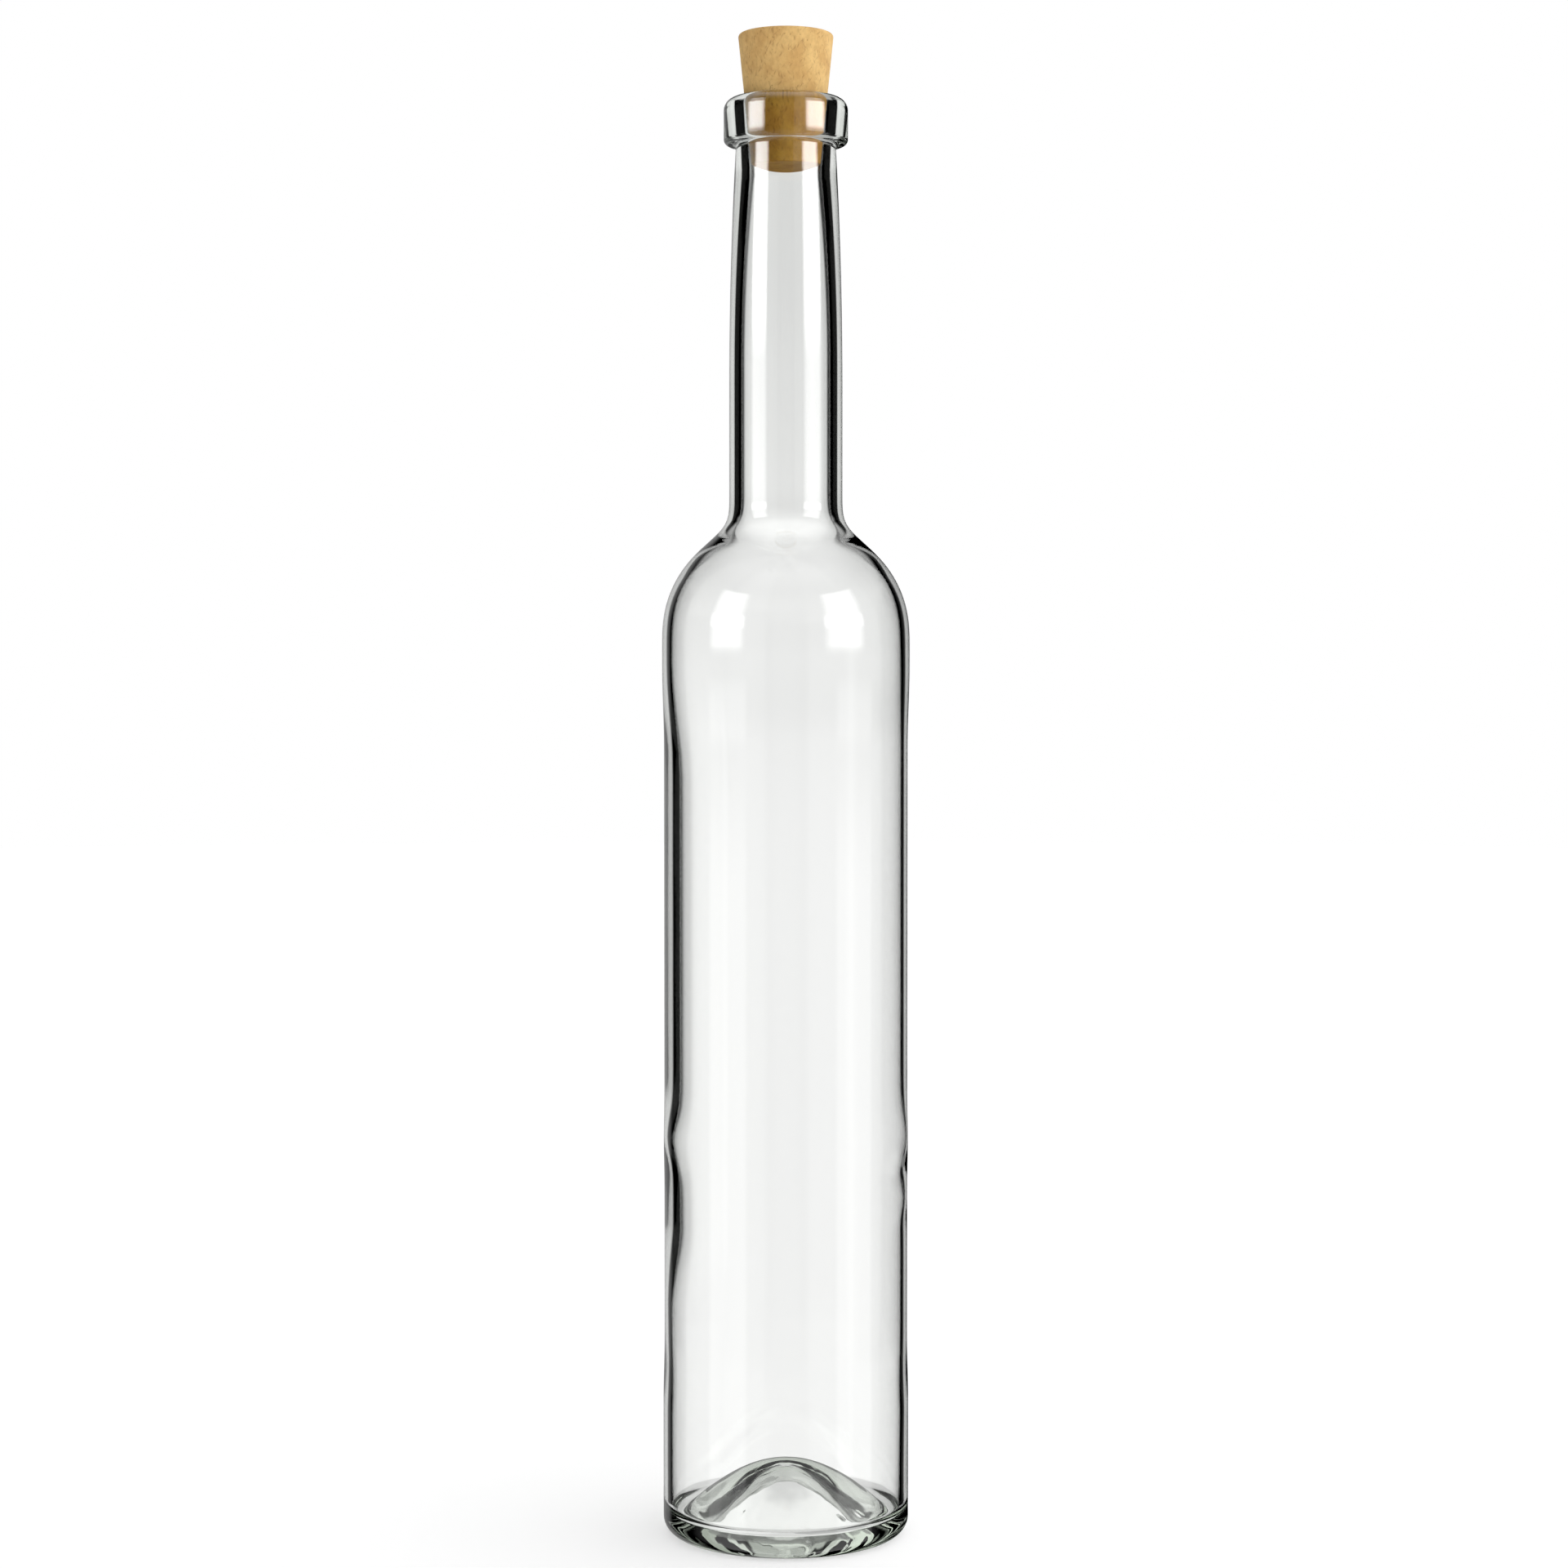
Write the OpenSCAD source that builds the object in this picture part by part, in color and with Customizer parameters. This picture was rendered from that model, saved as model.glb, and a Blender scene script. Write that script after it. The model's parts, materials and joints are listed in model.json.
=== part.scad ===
// Tall round glass bottle closed by a tapered cork stopper
// Sizes are in millimetres. The origin is on the table under the middle of the base, and Z points up.
// Both pieces are round, so each is one outline turned about Z.
// In an outline the first number of a point is its distance from the axis and the second its height.

/* [Base] */
// Radius of the round that turns the heel band into the base
heel_round = 3.7; // [2.5:0.1:5]
// Width of the flat ring that the bottle stands on
bearing_w = 2.6; // [1.5:0.1:4]
// Height of the hollow pushed up into the underside
punt_h = 12.5; // [8:0.5:16]
// Thickness of the glass at the top of the punt
punt_glass = 3.2; // [2:0.1:5]
// Thickness of the glass over the inner edge of the floor
floor_glass = 4.2; // [3:0.1:6]
// Radius of the round between the floor and the inner wall
floor_round = 3; // [2:0.25:5]

/* [Body] */
// Outside diameter of the shoulder band, the widest place
body_d = 54; // [50:0.5:58]
// How far the heel band lies inside the shoulder band, on each side
heel_step = 0.15; // [0.05:0.05:0.4]
// How far the label panel lies inside the shoulder band, on each side
panel_step = 0.4; // [0.1:0.05:0.8]
// Thickness of the glass at the shoulder band
wall = 2.6; // [1.8:0.1:3.2]
// Height of the heel band, above the heel round
heel_band_h = 25.3; // [12:0.1:40]
// Height over which the heel band runs into the label panel
lower_blend_h = 14; // [6:0.5:20]
// Height of the label panel
panel_h = 129; // [80:1:160]
// Height over which the label panel runs into the shoulder band
upper_blend_h = 18; // [6:0.5:24]
// Height of the shoulder band
shoulder_band_h = 7; // [3:0.5:15]

/* [Shoulder] */
// Radius of the round that turns the body into the shoulder
shoulder_round = 24; // [18:0.5:28]
// Length of the straight slope between the two rounds
shoulder_slope_l = 6.4; // [3:0.1:9]
// Radius of the hollow round that turns the shoulder into the neck
neck_root_round = 6; // [4:0.25:9]

/* [Neck] */
// Outside diameter of the straight foot of the neck
neck_d = 24.65; // [22:0.05:28]
// Thickness of the glass in the straight foot of the neck
neck_wall = 2.6; // [2:0.1:3.5]
// Height of the straight foot of the neck
neck_straight_h = 26.5; // [15:0.5:40]
// Height over which the neck draws in towards the lip
neck_taper_h = 53; // [42:0.5:70]
// Thickness of the glass round the throat, at the top of the neck
throat_wall = 3.1; // [2.5:0.1:3.6]
// Height over which the bore opens out below the throat
throat_blend_h = 42; // [25:0.5:44]

/* [Lip and mouth] */
// Diameter of the mouth just under its rounded edge
mouth_d = 18; // [16:0.1:20]
// Thickness of the lip ring from the mouth to its outside
lip_wall = 4.5; // [4:0.1:6]
// Height of the lip ring
lip_h = 10; // [7:0.5:14]
// Radius of the round on the lip's outer top edge
lip_top_round = 2.6; // [1.5:0.1:2.9]
// Radius of the round on the lip's outer lower edge
lip_foot_round = 1.1; // [0.5:0.1:1.5]
// Radius of the hollow round between the neck and the lip
lip_fillet = 0.8; // [0.4:0.1:1.2]
// Radius of the round on the mouth's edge
mouth_round = 1; // [0.5:0.1:1.1]

/* [Stopper] */
// Height of the stopper that stands above the lip
stopper_proud = 13.9; // [8:0.1:20]
// Depth of the stopper below the top of the lip
stopper_depth = 14.9; // [10:0.1:18]
// Angle between the stopper's side and its axis
stopper_angle = 5.85; // [3.5:0.05:7]
// Radius of the worn edge round the stopper's top
stopper_top_round = 0.7; // [0.3:0.05:1.5]
// Radius of the edge round the stopper's foot
stopper_foot_round = 0.3; // [0.1:0.05:0.8]
// Gap between the stopper and the mouth where it seats, on each side
seat_gap = 0.05; // [0.02:0.01:0.1]
// Gap between the stopper's foot and the throat, on each side
throat_gap = 0.35; // [0.2:0.05:0.6]
// Depth of the throat below the stopper's foot
throat_below = 1; // [0.5:0.1:2]

/* [Hidden] */

glass_colour = [0.80, 0.88, 0.84, 0.45];
cork_colour = [0.80, 0.63, 0.40];

// Power that shapes the domed floor: 1 is a plain parabola and more draws the foot of the dome in
floor_power = 1.3;
// Power that shapes the punt in the same way
punt_power = 2;
// Steps along each curve that isn't a round
curve_steps = 12;
// Most that a straight piece of a round may leave the true round
round_error = 0.015;
// Points closer together than this are taken as one
same_point = 0.001;
$fn = 180;

// Half sizes across the bottle, from the base up
body_r = body_d / 2;
heel_r = body_r - heel_step;
panel_r = body_r - panel_step;
bearing_out_r = heel_r - heel_round;
punt_r = bearing_out_r - bearing_w;
inner_r = body_r - wall;
floor_r = inner_r - floor_round;
neck_r = neck_d / 2;
neck_bore_r = neck_r - neck_wall;
mouth_r = mouth_d / 2;
lip_r = mouth_r + lip_wall;

// Heights up the bottle, from the table
heel_band_z = heel_round + heel_band_h;
panel_z = heel_band_z + lower_blend_h;
panel_top_z = panel_z + panel_h;
shoulder_band_z = panel_top_z + upper_blend_h;
shoulder_z = shoulder_band_z + shoulder_band_h;
neck_z = shoulder_z + shoulder_rise(body_r - neck_r, shoulder_round + neck_root_round, shoulder_slope_l);
neck_taper_z = neck_z + neck_straight_h;
lip_z = neck_taper_z + neck_taper_h;
top_z = lip_z + lip_h;
seat_z = top_z - mouth_round;
floor_top = punt_h + punt_glass;

// The inside of the shoulder keeps the outside's centres, so its rounds differ by the glass
inner_shoulder_round = shoulder_round - wall;
inner_root_round = neck_root_round + neck_wall;
inner_rounds = inner_shoulder_round + inner_root_round;
inner_neck_z = shoulder_z + shoulder_rise(inner_r - neck_bore_r, inner_rounds, shoulder_slope_l);

// The stopper's side passes the mouth's edge at the seat gap, and the bore follows the stopper down
stopper_foot_z = top_z - stopper_depth;
stopper_top_z = top_z + stopper_proud;
seat_r = mouth_r - seat_gap;
stopper_foot_r = stopper_r(stopper_foot_z);
stopper_top_r = stopper_r(stopper_top_z);
throat_r = stopper_foot_r + throat_gap;
throat_z = stopper_foot_z - throat_below;
throat_foot_z = throat_z - throat_blend_h;
neck_top_r = throat_r + throat_wall;

// Radius of the stopper's cone at a height
function stopper_r(z) = seat_r + (z - seat_z) * tan(stopper_angle);

// Points along a round from one angle to another, few enough to keep within round_error
function round_points(r, z, radius, from, to) =
    let (step = 2 * acos(1 - round_error / radius))
    let (steps = max(2, ceil(abs(to - from) / step)))
    [for (i = [0 : steps]) let (a = from + (to - from) * i / steps) [r + radius * cos(a), z + radius * sin(a)]];

// Points of a smooth step from one radius to another, upright at both ends
function blend_points(r_low, r_high, z_low, z_high) =
    [for (i = [0 : curve_steps]) let (t = i / curve_steps)
        [r_low + (r_high - r_low) * (1 - cos(180 * t)) / 2, z_low + (z_high - z_low) * t]];

// Points of a curve that leaves one radius upright and reaches the other by the square of the height
function draw_in_points(r_from, r_to, z_from, z_to) =
    [for (i = [0 : curve_steps]) let (t = i / curve_steps) [r_from + (r_to - r_from) * t * t, z_from + (z_to - z_from) * t]];

// Points of a dome from the axis out to its foot
function dome_points(radius, z_foot, rise, power) =
    [for (i = [0 : curve_steps]) let (t = i / curve_steps) [radius * t, z_foot + rise * pow(1 - t * t, power)]];

// Angle that a shoulder turns through, from its run and the sum of its two rounds
function shoulder_turn(run, rounds, slope_l) =
    acos((rounds - run) / norm([rounds, slope_l])) - atan2(slope_l, rounds);

// Height from the foot of the lower round to the top of the upper one
function shoulder_rise(run, rounds, slope_l) =
    let (turn = shoulder_turn(run, rounds, slope_l)) rounds * sin(turn) + slope_l * cos(turn);

// Points of a shoulder: a round, a straight slope and a hollow round that ends at the neck
function shoulder_points(r_low, r_high, z_low, z_high, low_round, high_round) =
    let (turn = shoulder_turn(r_low - r_high, low_round + high_round, shoulder_slope_l))
    concat(
        round_points(r_low - low_round, z_low, low_round, 0, turn),
        round_points(r_high + high_round, z_high, high_round, 180 + turn, 180)
    );

function backwards(points) = [for (i = [len(points) - 1 : -1 : 0]) points[i]];

// The outline without points that repeat the one before
function joined(points) =
    [for (i = [0 : len(points) - 1]) if (i == 0 || norm(points[i] - points[i - 1]) > same_point) points[i]];

// Underside, from the top of the punt out to the foot of the heel band
base_points = concat(
    dome_points(punt_r, 0, punt_h, punt_power),
    round_points(bearing_out_r, heel_round, heel_round, 270, 360)
);

// Outside of the body, from the heel band to the neck
body_points = concat(
    blend_points(heel_r, panel_r, heel_band_z, panel_z),
    blend_points(panel_r, body_r, panel_top_z, shoulder_band_z),
    shoulder_points(body_r, neck_r, shoulder_z, neck_z, shoulder_round, neck_root_round)
);

// Outside of the neck and the lip, over the top and into the mouth
neck_points = concat(
    draw_in_points(neck_r, neck_top_r, neck_taper_z, lip_z - lip_fillet),
    round_points(neck_top_r + lip_fillet, lip_z - lip_fillet, lip_fillet, 180, 90),
    round_points(lip_r - lip_foot_round, lip_z + lip_foot_round, lip_foot_round, 270, 360),
    round_points(lip_r - lip_top_round, top_z - lip_top_round, lip_top_round, 0, 90),
    round_points(mouth_r + mouth_round, seat_z, mouth_round, 90, 180)
);

// Inside of the bottle, from the throat down to the middle of the floor
inside_points = concat(
    backwards(draw_in_points(neck_bore_r, throat_r, throat_foot_z, throat_z)),
    backwards(shoulder_points(inner_r, neck_bore_r, shoulder_z, inner_neck_z, inner_shoulder_round, inner_root_round)),
    round_points(floor_r, floor_glass + floor_round, floor_round, 360, 270),
    backwards(dome_points(floor_r, floor_glass, floor_top - floor_glass, floor_power))
);

// The bottle: one piece of glass with its base, body, shoulder, neck and lip
module glass_bottle() {
    color(glass_colour)
        rotate_extrude()
            polygon(joined(concat(base_points, body_points, neck_points, inside_points)));
}

// Half of the angle left over where the stopper's side meets its flat ends
top_corner = (90 - stopper_angle) / 2;
foot_corner = (90 + stopper_angle) / 2;
top_round_r = stopper_top_r - stopper_top_round / tan(top_corner);
foot_round_r = stopper_foot_r - stopper_foot_round / tan(foot_corner);

// The stopper: a plain tapered cork with softened edges
module cork_stopper() {
    color(cork_colour)
        rotate_extrude()
            polygon(joined(concat(
                [[0, stopper_foot_z]],
                round_points(foot_round_r, stopper_foot_z + stopper_foot_round, stopper_foot_round, 270, 360 - stopper_angle),
                round_points(top_round_r, stopper_top_z - stopper_top_round, stopper_top_round, -stopper_angle, 90),
                [[0, stopper_top_z]]
            )));
}

glass_bottle();
cork_stopper();
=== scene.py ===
"""Looks of the stoppered glass bottle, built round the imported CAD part.

The file is laid out as a Blender add-on and is run as a script. The frame gives the height, the widths
and the stopper, and the sizes that the frame can't give are repeated from the part's own source.
"""

import json
import math

import bpy
import numpy as np
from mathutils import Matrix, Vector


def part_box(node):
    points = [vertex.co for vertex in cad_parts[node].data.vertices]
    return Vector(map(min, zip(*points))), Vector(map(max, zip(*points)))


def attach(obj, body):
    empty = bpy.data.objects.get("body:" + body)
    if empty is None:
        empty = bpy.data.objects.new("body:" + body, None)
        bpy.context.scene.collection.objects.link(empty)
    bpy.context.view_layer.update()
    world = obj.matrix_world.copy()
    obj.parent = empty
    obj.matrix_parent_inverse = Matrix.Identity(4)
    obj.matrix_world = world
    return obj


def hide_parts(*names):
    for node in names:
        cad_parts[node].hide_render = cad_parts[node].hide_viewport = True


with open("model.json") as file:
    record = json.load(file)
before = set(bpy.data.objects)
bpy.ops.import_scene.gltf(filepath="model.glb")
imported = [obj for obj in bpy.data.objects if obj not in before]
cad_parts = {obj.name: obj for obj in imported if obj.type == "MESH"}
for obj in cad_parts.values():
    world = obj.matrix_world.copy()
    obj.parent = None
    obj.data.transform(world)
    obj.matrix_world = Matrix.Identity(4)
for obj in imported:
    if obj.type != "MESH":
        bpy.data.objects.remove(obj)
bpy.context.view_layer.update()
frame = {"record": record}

bl_info = {
    "name": "Stoppered glass bottle",
    "version": (1, 0, 0),
    "blender": (4, 5, 0),
    "location": "3D View > Sidebar > Bottle",
    "description": "Builds the glass, the cork stopper and the studio of a tall round bottle",
    "category": "Object",
}

MM = 0.001


def mount(name):
    """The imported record's mount of that name."""
    return next(entry for entry in frame["record"]["mounts"] if entry["name"] == name)


GLASS_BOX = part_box("glass_bottle")
CORK_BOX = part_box("cork_stopper")
LIP_RING = mount("lip_ring")
HEEL_BAND = mount("heel_band")

TOP_Z = GLASS_BOX[1][2]
BODY_R = GLASS_BOX[1][0]
LIP_R = LIP_RING["dims"]["r_mm"] * MM
HEEL_R = HEEL_BAND["dims"]["r_mm"] * MM
HEEL_MID_Z = HEEL_BAND["pos_m"][2]
HEEL_HALF_H = HEEL_BAND["dims"]["length_mm"] * MM / 2
STOPPER_FOOT_Z = CORK_BOX[0][2]
STOPPER_TOP_Z = CORK_BOX[1][2]
STOPPER_TOP_R = CORK_BOX[1][0]


def length(name, description, default):
    """A length that the user can change, in metres."""
    return bpy.props.FloatProperty(
        name=name, description=description, default=default, min=0, unit="LENGTH", precision=5
    )


def number(name, description, default, low=0.0, high=100.0):
    """A plain number that the user can change."""
    return bpy.props.FloatProperty(name=name, description=description, default=default, min=low, max=high)


def angle(name, description, degrees):
    """An angle that the user can change."""
    return bpy.props.FloatProperty(
        name=name, description=description, default=math.radians(degrees), subtype="ANGLE"
    )


def colour(name, description, red, green, blue):
    """A colour that the user can change, written in linear light."""
    default = (red, green, blue)
    return bpy.props.FloatVectorProperty(
        name=name, description=description, size=3, subtype="COLOR", min=0, max=1, default=default
    )


class BottleSizes(bpy.types.PropertyGroup):
    """Sizes of the glass."""

    body_r: length("Body radius", "Outside radius of the shoulder band", BODY_R)
    heel_r: length("Heel radius", "Outside radius of the heel band", HEEL_R)
    panel_step: length("Panel step", "How far the label panel lies inside the shoulder band", 0.4 * MM)
    heel_round: length("Heel round", "Radius of the round under the heel band", HEEL_MID_Z - HEEL_HALF_H)
    heel_band_z: length("Heel band top", "Height of the top of the heel band", HEEL_MID_Z + HEEL_HALF_H)
    bearing_w: length("Bearing ring", "Width of the ring that the bottle stands on", 2.6 * MM)
    punt_h: length("Punt height", "Height of the hollow pushed up into the underside", 12.5 * MM)
    punt_glass: length("Punt glass", "Thickness of the glass at the top of the punt", 3.2 * MM)
    floor_glass: length("Floor glass", "Thickness of the glass over the floor's edge", 4.8 * MM)
    floor_round: length("Floor round", "Radius of the round between floor and wall", 2.5 * MM)
    wall: length("Wall", "Thickness of the glass at the shoulder band", 2 * MM)
    lower_blend_h: length("Lower blend", "Height of the step from heel band to panel", 14 * MM)
    panel_h: length("Panel height", "Height of the label panel", 129 * MM)
    upper_blend_h: length("Upper blend", "Height of the step from panel to shoulder band", 18 * MM)
    shoulder_band_h: length("Shoulder band", "Height of the shoulder band", 7 * MM)
    shoulder_round: length("Shoulder round", "Radius of the round of the shoulder", 24 * MM)
    shoulder_slope_l: length("Shoulder slope", "Length of the straight slope of the shoulder", 6.4 * MM)
    neck_root_round: length("Neck root", "Radius of the hollow round under the neck", 6 * MM)
    inner_shoulder_z: length("Inner shoulder", "Height at which the inside starts to turn in", 197.5 * MM)
    inner_shoulder_round: length("Inner shoulder round", "Radius of that turn", 21.5 * MM)
    inner_slope_l: length("Inner slope", "Length of the straight slope on the inside", 2 * MM)
    inner_root_round: length("Inner neck root", "Radius of the edge where the bore starts", 8.5 * MM)
    outer_soft: length("Outer softness", "How far the shoulder's outside is eased", 1.6 * MM)
    inner_soft: length("Inner softness", "How far the shoulder's inside is eased", 2.5 * MM)
    neck_r: length("Neck radius", "Outside radius of the straight foot of the neck", 12.325 * MM)
    neck_wall: length("Neck wall", "Thickness of the glass in the foot of the neck", 2.6 * MM)
    neck_straight_h: length("Neck foot", "Height of the straight foot of the neck", 26.5 * MM)
    throat_wall: length("Throat wall", "Thickness of the glass round the throat", 3.1 * MM)
    throat_blend_h: length("Throat blend", "Height over which the bore opens below the throat", 42 * MM)
    throat_gap: length("Throat gap", "Gap between the stopper's foot and the throat", 0.35 * MM)
    throat_below: length("Throat below", "Depth of the throat below the stopper's foot", 1 * MM)
    lip_r: length("Lip radius", "Outside radius of the lip ring", LIP_R)
    lip_h: length("Lip height", "Height of the lip ring", 10 * MM)
    lip_top_round: length("Lip top round", "Radius of the lip's upper edge", 2.6 * MM)
    lip_foot_round: length("Lip foot round", "Radius of the lip's lower edge", 1.1 * MM)
    lip_fillet: length("Lip fillet", "Radius of the hollow round under the lip", 0.8 * MM)
    mouth_r: length("Mouth radius", "Radius of the mouth under its rounded edge", 9 * MM)
    mouth_round: length("Mouth round", "Radius of the round on the mouth's edge", 1 * MM)
    floor_power: number("Floor shape", "How far the foot of the domed floor is drawn in", 1.12, 0.8, 4)
    punt_power: number("Punt shape", "How far the foot of the punt is drawn in", 2.3, 1, 4)


class BlownGlass(bpy.types.PropertyGroup):
    """Small departures of the blown glass from a true round."""

    heavy_side: length("Heavy side", "How much thicker the wall is on the left of the panel", 1 * MM)
    thin_side: length("Thin side", "How much thinner the wall is on the right", 0.1 * MM)
    settle_z: length("Settle wave height", "Height of the ring where the wall thins", 86.4 * MM)
    settle_h: length("Settle wave width", "Half height of that ring", 6 * MM)
    settle_in: length("Settle wave depth", "How much thinner the wall is there", 0.65 * MM)
    settle_out: length("Settle wave swell", "How far the outside swells there", 0.15 * MM)
    base_wave: length("Base wave", "Height of the uneven waves in the floor and in the punt", 0.015 * MM)
    heel_wave: length("Heel wave", "Height of the uneven waves round the heel", 0.006 * MM)
    dent: length("Dents", "Depth of the small dents in the punt", 0.25 * MM)


class StopperSizes(bpy.types.PropertyGroup):
    """Sizes of the cork."""

    foot_z: length("Foot height", "Height of the stopper's foot", STOPPER_FOOT_Z)
    top_z: length("Top height", "Height of the stopper's top", STOPPER_TOP_Z)
    top_r: length("Top radius", "Radius of the stopper's top", STOPPER_TOP_R)
    taper: angle("Taper", "Angle between the stopper's side and its axis", 5.85)
    top_round: length("Top round", "Radius of the worn edge round the top", 0.7 * MM)
    foot_round: length("Foot round", "Radius of the edge round the foot", 0.3 * MM)
    marks: bpy.props.IntProperty(name="Marks", description="How many marks it has", default=1600, min=0)
    mark_depth: length("Mark depth", "How deep the marks are", 0.1 * MM)


class Finishes(bpy.types.PropertyGroup):
    """Colours of the glass and of the cork, and the cork's painted shade in the neck and at its foot."""

    glass_tint: colour("Glass tint", "What the glass keeps of light in it", 0.66, 0.80, 0.60)
    glass_density: number("Glass density", "How fast the tint deepens, for each metre of glass", 15)
    cork: colour("Cork", "Main colour of the cork", 0.57, 0.34, 0.115)
    cork_pale: colour("Pale cork", "Colour of the paler grain", 0.70, 0.46, 0.175)
    cork_dark: colour("Dark cork", "Colour of the pores", 0.20, 0.09, 0.025)
    # Painted shade: multiplies the cork's colour below the mouth, deeper and more golden, for the dimmer
    # light inside the glass neck
    cork_neck_shade: colour("Squeezed cork", "What is left of the colour in the neck", 0.95, 0.78, 0.30)
    # Painted shade: multiplies the colour at the cork's foot, a little darker, for the shade under the
    # cork
    cork_foot_shade: colour("Foot of the cork", "What is left of the colour at the foot", 1.0, 0.96, 0.88)


class Studio(bpy.types.PropertyGroup):
    """Camera and floor."""

    lens: number("Lens", "Focal length on a 36 mm sensor, in millimetres", 74.45, 10, 300)
    camera_x: bpy.props.FloatProperty(name="Camera side", description="Camera across", default=-0.0004)
    camera_y: bpy.props.FloatProperty(name="Camera back", description="Camera along", default=-0.7085)
    camera_z: bpy.props.FloatProperty(name="Camera height", description="Camera up", default=0.1871)
    tilt: angle("Camera tilt", "How far the camera looks down", 1.572)
    shift: bpy.props.FloatProperty(name="Shift", description="Upright shift", default=-0.0104)
    floor_r: length("Floor radius", "Radius of the pale floor", 3.0)


# Outlines: arrays of (distance from the axis, height), in metres

ROUND_STEP = math.radians(9)
PLAIN_STEP = 2 * MM
SOFT_STEP = 1.2 * MM
FEWEST_STEPS = 3
# Heights of the points on an upright wall: close in the base and round the settle wave, wide elsewhere
LEVELS = np.concatenate(
    [np.arange(0, 16, 1.0), np.arange(16, 62, 4), np.arange(62, 106, 1.5), np.arange(106, 300, 5)]
) * MM
LEVEL_GAP = 0.2 * MM
SAME_POINT = 0.001 * MM


def round_part(r, z, radius, start, end):
    """Points r + radius cos(a), z + radius sin(a), for angles a in degrees from start to end."""
    steps = max(FEWEST_STEPS, math.ceil(abs(math.radians(end - start)) / ROUND_STEP))
    a = np.radians(np.linspace(start, end, steps + 1))
    return np.column_stack([r + radius * np.cos(a), z + radius * np.sin(a)])


def shares(z_start, z_end):
    """Even shares from 0 to 1 of the way between two heights, about a plain step apart."""
    steps = max(FEWEST_STEPS, math.ceil(abs(z_end - z_start) / PLAIN_STEP))
    return np.linspace(0, 1, steps + 1)


def step_part(r_low, r_high, z_low, z_high):
    """Smooth step in radius: half a cosine wave from the low end to the high end."""
    t = shares(z_low, z_high)
    wave = (1 - np.cos(np.pi * t)) / 2
    return np.column_stack([r_low + (r_high - r_low) * wave, z_low + (z_high - z_low) * t])


def draw_in_part(r_start, r_end, z_start, z_end):
    """Radius that leaves the start upright and changes by the square of the height."""
    t = shares(z_start, z_end)
    return np.column_stack([r_start + (r_end - r_start) * t * t, z_start + (z_end - z_start) * t])


def plain_part(r_start, z_start, r_end, z_end):
    """Straight line of evenly spaced points."""
    steps = max(1, math.ceil(math.hypot(r_end - r_start, z_end - z_start) / PLAIN_STEP))
    t = np.linspace(0, 1, steps + 1)
    return np.column_stack([r_start + (r_end - r_start) * t, z_start + (z_end - z_start) * t])


def upright_part(r, z_start, z_end):
    """Upright line, with its points closer where the glass has small waves."""
    low, high = sorted([z_start, z_end])
    between = LEVELS[(LEVELS > low + LEVEL_GAP) & (LEVELS < high - LEVEL_GAP)]
    z = np.concatenate([[low], between, [high]])
    upwards = np.column_stack([np.full_like(z, r), z])
    return upwards if z_end > z_start else upwards[::-1]


def dome_part(radius, z_foot, rise, power, step):
    """Dome from the axis out to its foot: height is the rise times (1 - t squared) to a power."""
    t = np.linspace(0, 1, math.ceil(radius / step) + 1)
    return np.column_stack([radius * t, z_foot + rise * (1 - t * t) ** power])


def shoulder_turn(run, rounds, slope_l):
    """Angle in degrees that a shoulder turns through, from its run and the sum of its two rounds.

    Its cosine times the rounds, less its sine times the slope's length, is the rounds less the run.
    """
    whole = math.acos((rounds - run) / math.hypot(rounds, slope_l))
    return math.degrees(whole - math.atan2(slope_l, rounds))


def shoulder_rise(run, rounds, slope_l):
    """Height from the foot of the lower round to the top of the upper one.

    It is the rounds times the sine of the turn, plus the slope's length times its cosine.
    """
    turn = math.radians(shoulder_turn(run, rounds, slope_l))
    return rounds * math.sin(turn) + slope_l * math.cos(turn)


def shoulder_part(r_low, r_high, z_low, z_high, low_round, high_round, slope_l):
    """A round, a straight slope and a hollow round that ends upright at the neck."""
    turn = shoulder_turn(r_low - r_high, low_round + high_round, slope_l)
    low = round_part(r_low - low_round, z_low, low_round, 0, turn)
    high = round_part(r_high + high_round, z_high, high_round, 180 + turn, 180)
    slope = plain_part(*low[-1], *high[0])
    return np.vstack([low, slope, high])


def joined(parts):
    """The parts end to end, without points that repeat the one before."""
    points = np.vstack(parts)
    gap = np.hypot(*np.diff(points, axis=0).T)
    return points[np.concatenate([[True], gap > SAME_POINT])]


def distances(points):
    """How far along the line each of its points lies."""
    return np.concatenate([[0], np.cumsum(np.hypot(*np.diff(points, axis=0).T))])


def softened(points, spread):
    """The same line with its bends eased by a bell-shaped average along its length; both ends stay."""
    along = distances(points)
    even_along = np.linspace(0, along[-1], math.ceil(along[-1] / SOFT_STEP) + 1)
    even = np.column_stack([np.interp(even_along, along, points[:, axis]) for axis in (0, 1)])
    reach = math.ceil(3 * spread / SOFT_STEP)
    weights = np.exp(-((np.arange(-reach, reach + 1) * SOFT_STEP / spread) ** 2) / 2)
    weights = weights / weights.sum()
    before = 2 * even[0] - even[reach:0:-1]
    after = 2 * even[-1] - even[-2 : -reach - 2 : -1]
    padded = np.vstack([before, even, after])
    return np.column_stack([np.convolve(padded[:, axis], weights, "valid") for axis in (0, 1)])


def bump(value, middle, half_width):
    """Bell curve of height 1: e to the power of minus the square of the distance in half widths."""
    return np.exp(-(((value - middle) / half_width) ** 2))


def smooth_step(value, low, high):
    """0 below low and 1 above high, with the curve 3 t squared minus 2 t cubed between them."""
    t = np.clip((value - low) / (high - low), 0, 1)
    return t * t * (3 - 2 * t)


def plateau(value, limits):
    """0 outside the first and last of four limits and 1 between the middle two, with smooth flanks."""
    start, full, fading, end = limits
    return smooth_step(value, start, full) * (1 - smooth_step(value, fading, end))


# Meshes

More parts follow.
